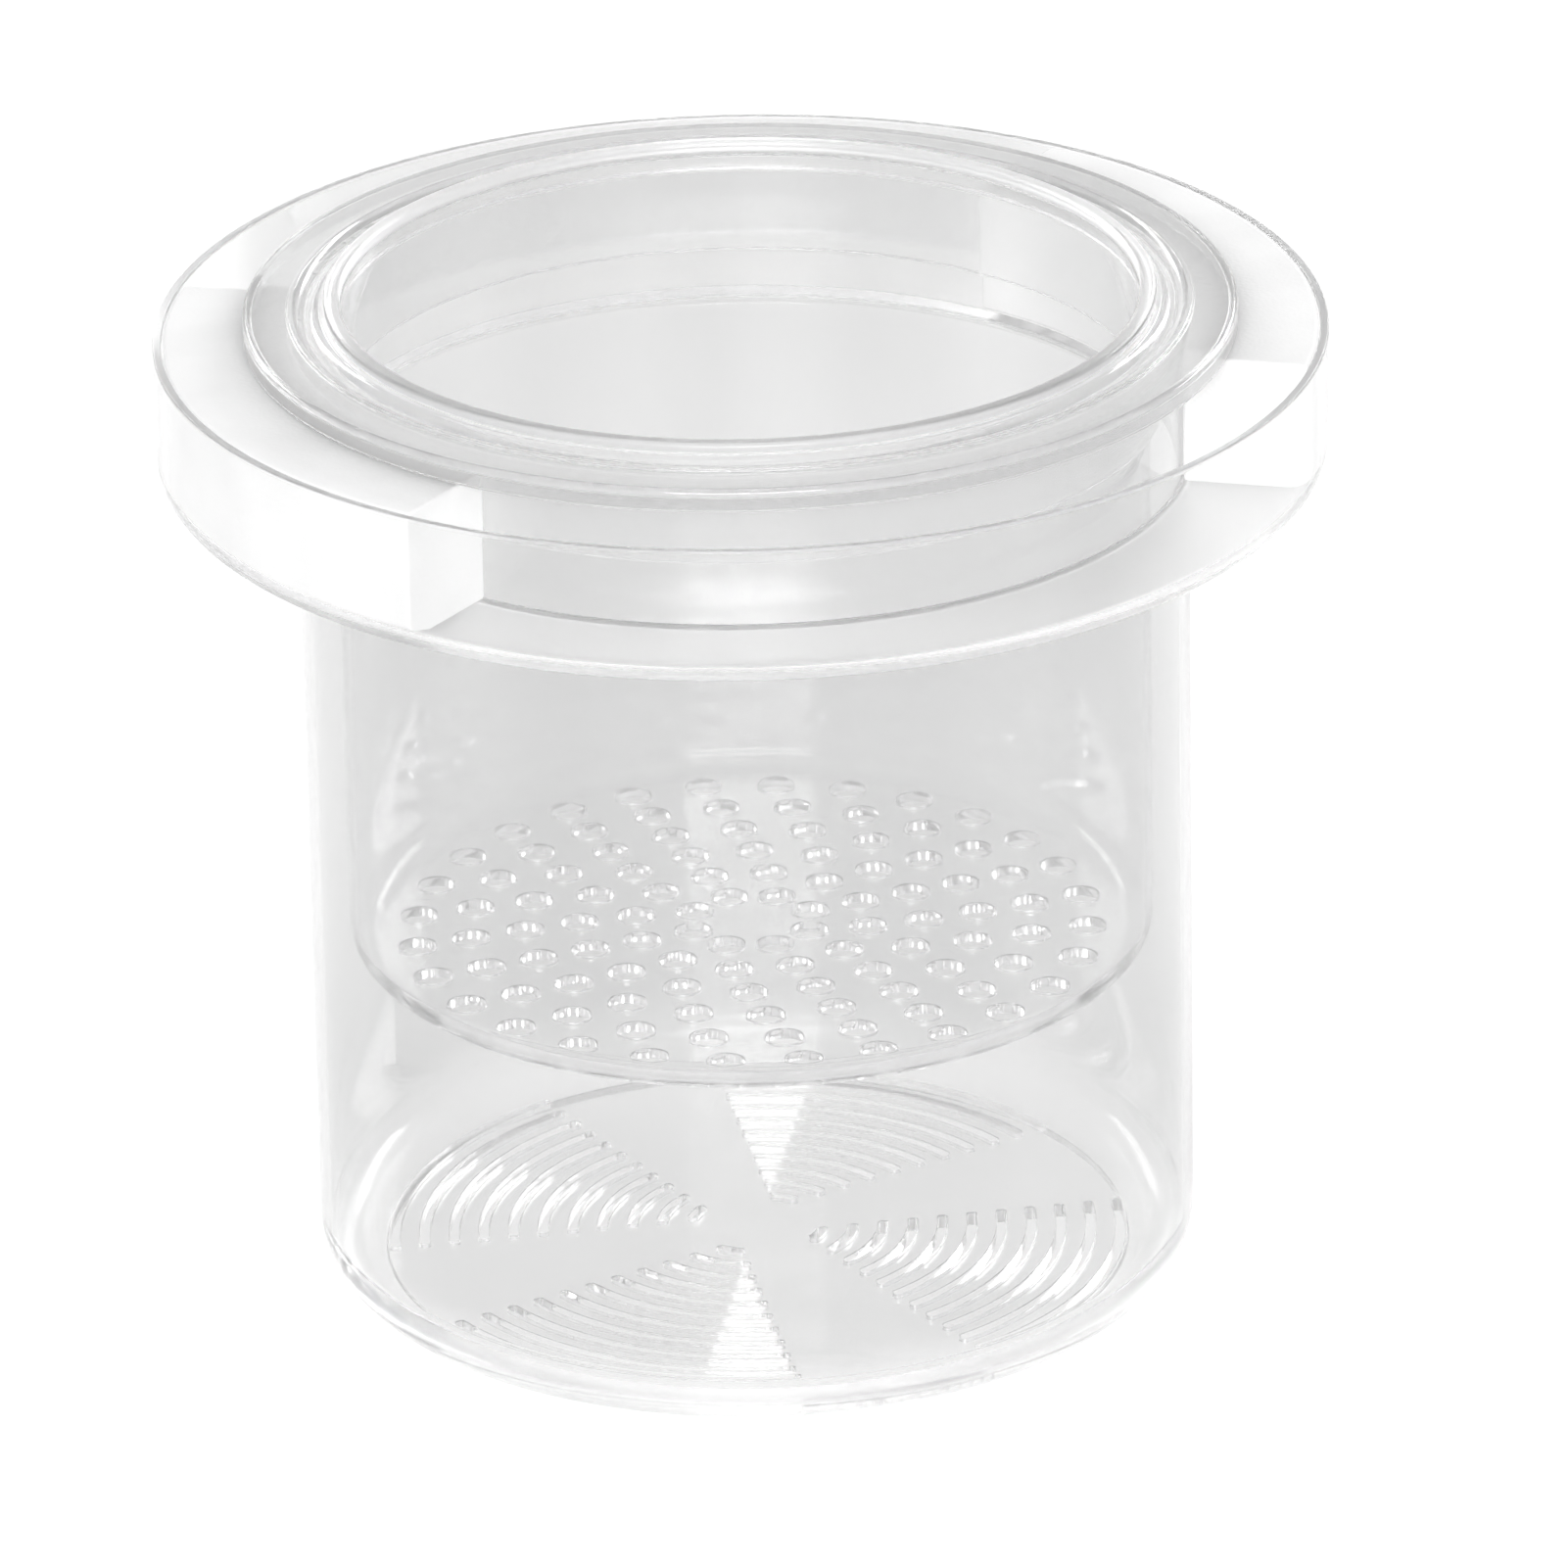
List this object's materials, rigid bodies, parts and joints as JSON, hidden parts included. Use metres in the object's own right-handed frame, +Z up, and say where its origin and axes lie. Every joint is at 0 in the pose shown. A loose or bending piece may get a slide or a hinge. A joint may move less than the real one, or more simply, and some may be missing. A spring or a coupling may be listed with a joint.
{
  "type": "fish breeding box",
  "caption": "Round clear floating bucket with a slotted bottom, foam float blocks in a trough round its rim, a clear top ring and a hanging basket with a perforated floor.",
  "frame": {"origin": "middle of the underside, on the flat foot that the box stands on", "axes": "+Z up along the axis of the bucket, basket and ring; the two foam floats lie on -X and +X"},
  "size_m": [0.16, 0.16, 0.1441],
  "materials": {
    "bucket_plastic": "clear colourless moulded plastic, polished",
    "basket_plastic": "clear colourless moulded plastic, polished",
    "ring_plastic": "clear colourless moulded plastic, polished",
    "float_foam": "white closed-cell foam, matt, fine skin"
  },
  "bodies": {
    "bucket": {"outer_bucket": "bucket_plastic"},
    "ring": {"top_ring": "ring_plastic"},
    "basket": {"inner_basket": "basket_plastic"},
    "left_float": {"float_left": "float_foam"},
    "right_float": {"float_right": "float_foam"}
  },
  "joints": [
    {"name": "ring_lift", "type": "slide", "parent": "bucket", "child": "ring", "axis": [0, 0, 1], "range_m": [0, 0.11]},
    {"name": "basket_lift", "type": "slide", "parent": "ring", "child": "basket", "axis": [0, 0, 1], "range_m": [0, 0.11]},
    {"name": "float_left_shift", "type": "hinge", "parent": "bucket", "child": "left_float", "pos_m": [0, 0, 0.1294], "axis": [0, 0, 1], "range_deg": [-45, 45]},
    {"name": "float_right_shift", "type": "hinge", "parent": "bucket", "child": "right_float", "pos_m": [0, 0, 0.1294], "axis": [0, 0, 1], "range_deg": [-45, 45]}
  ]
}
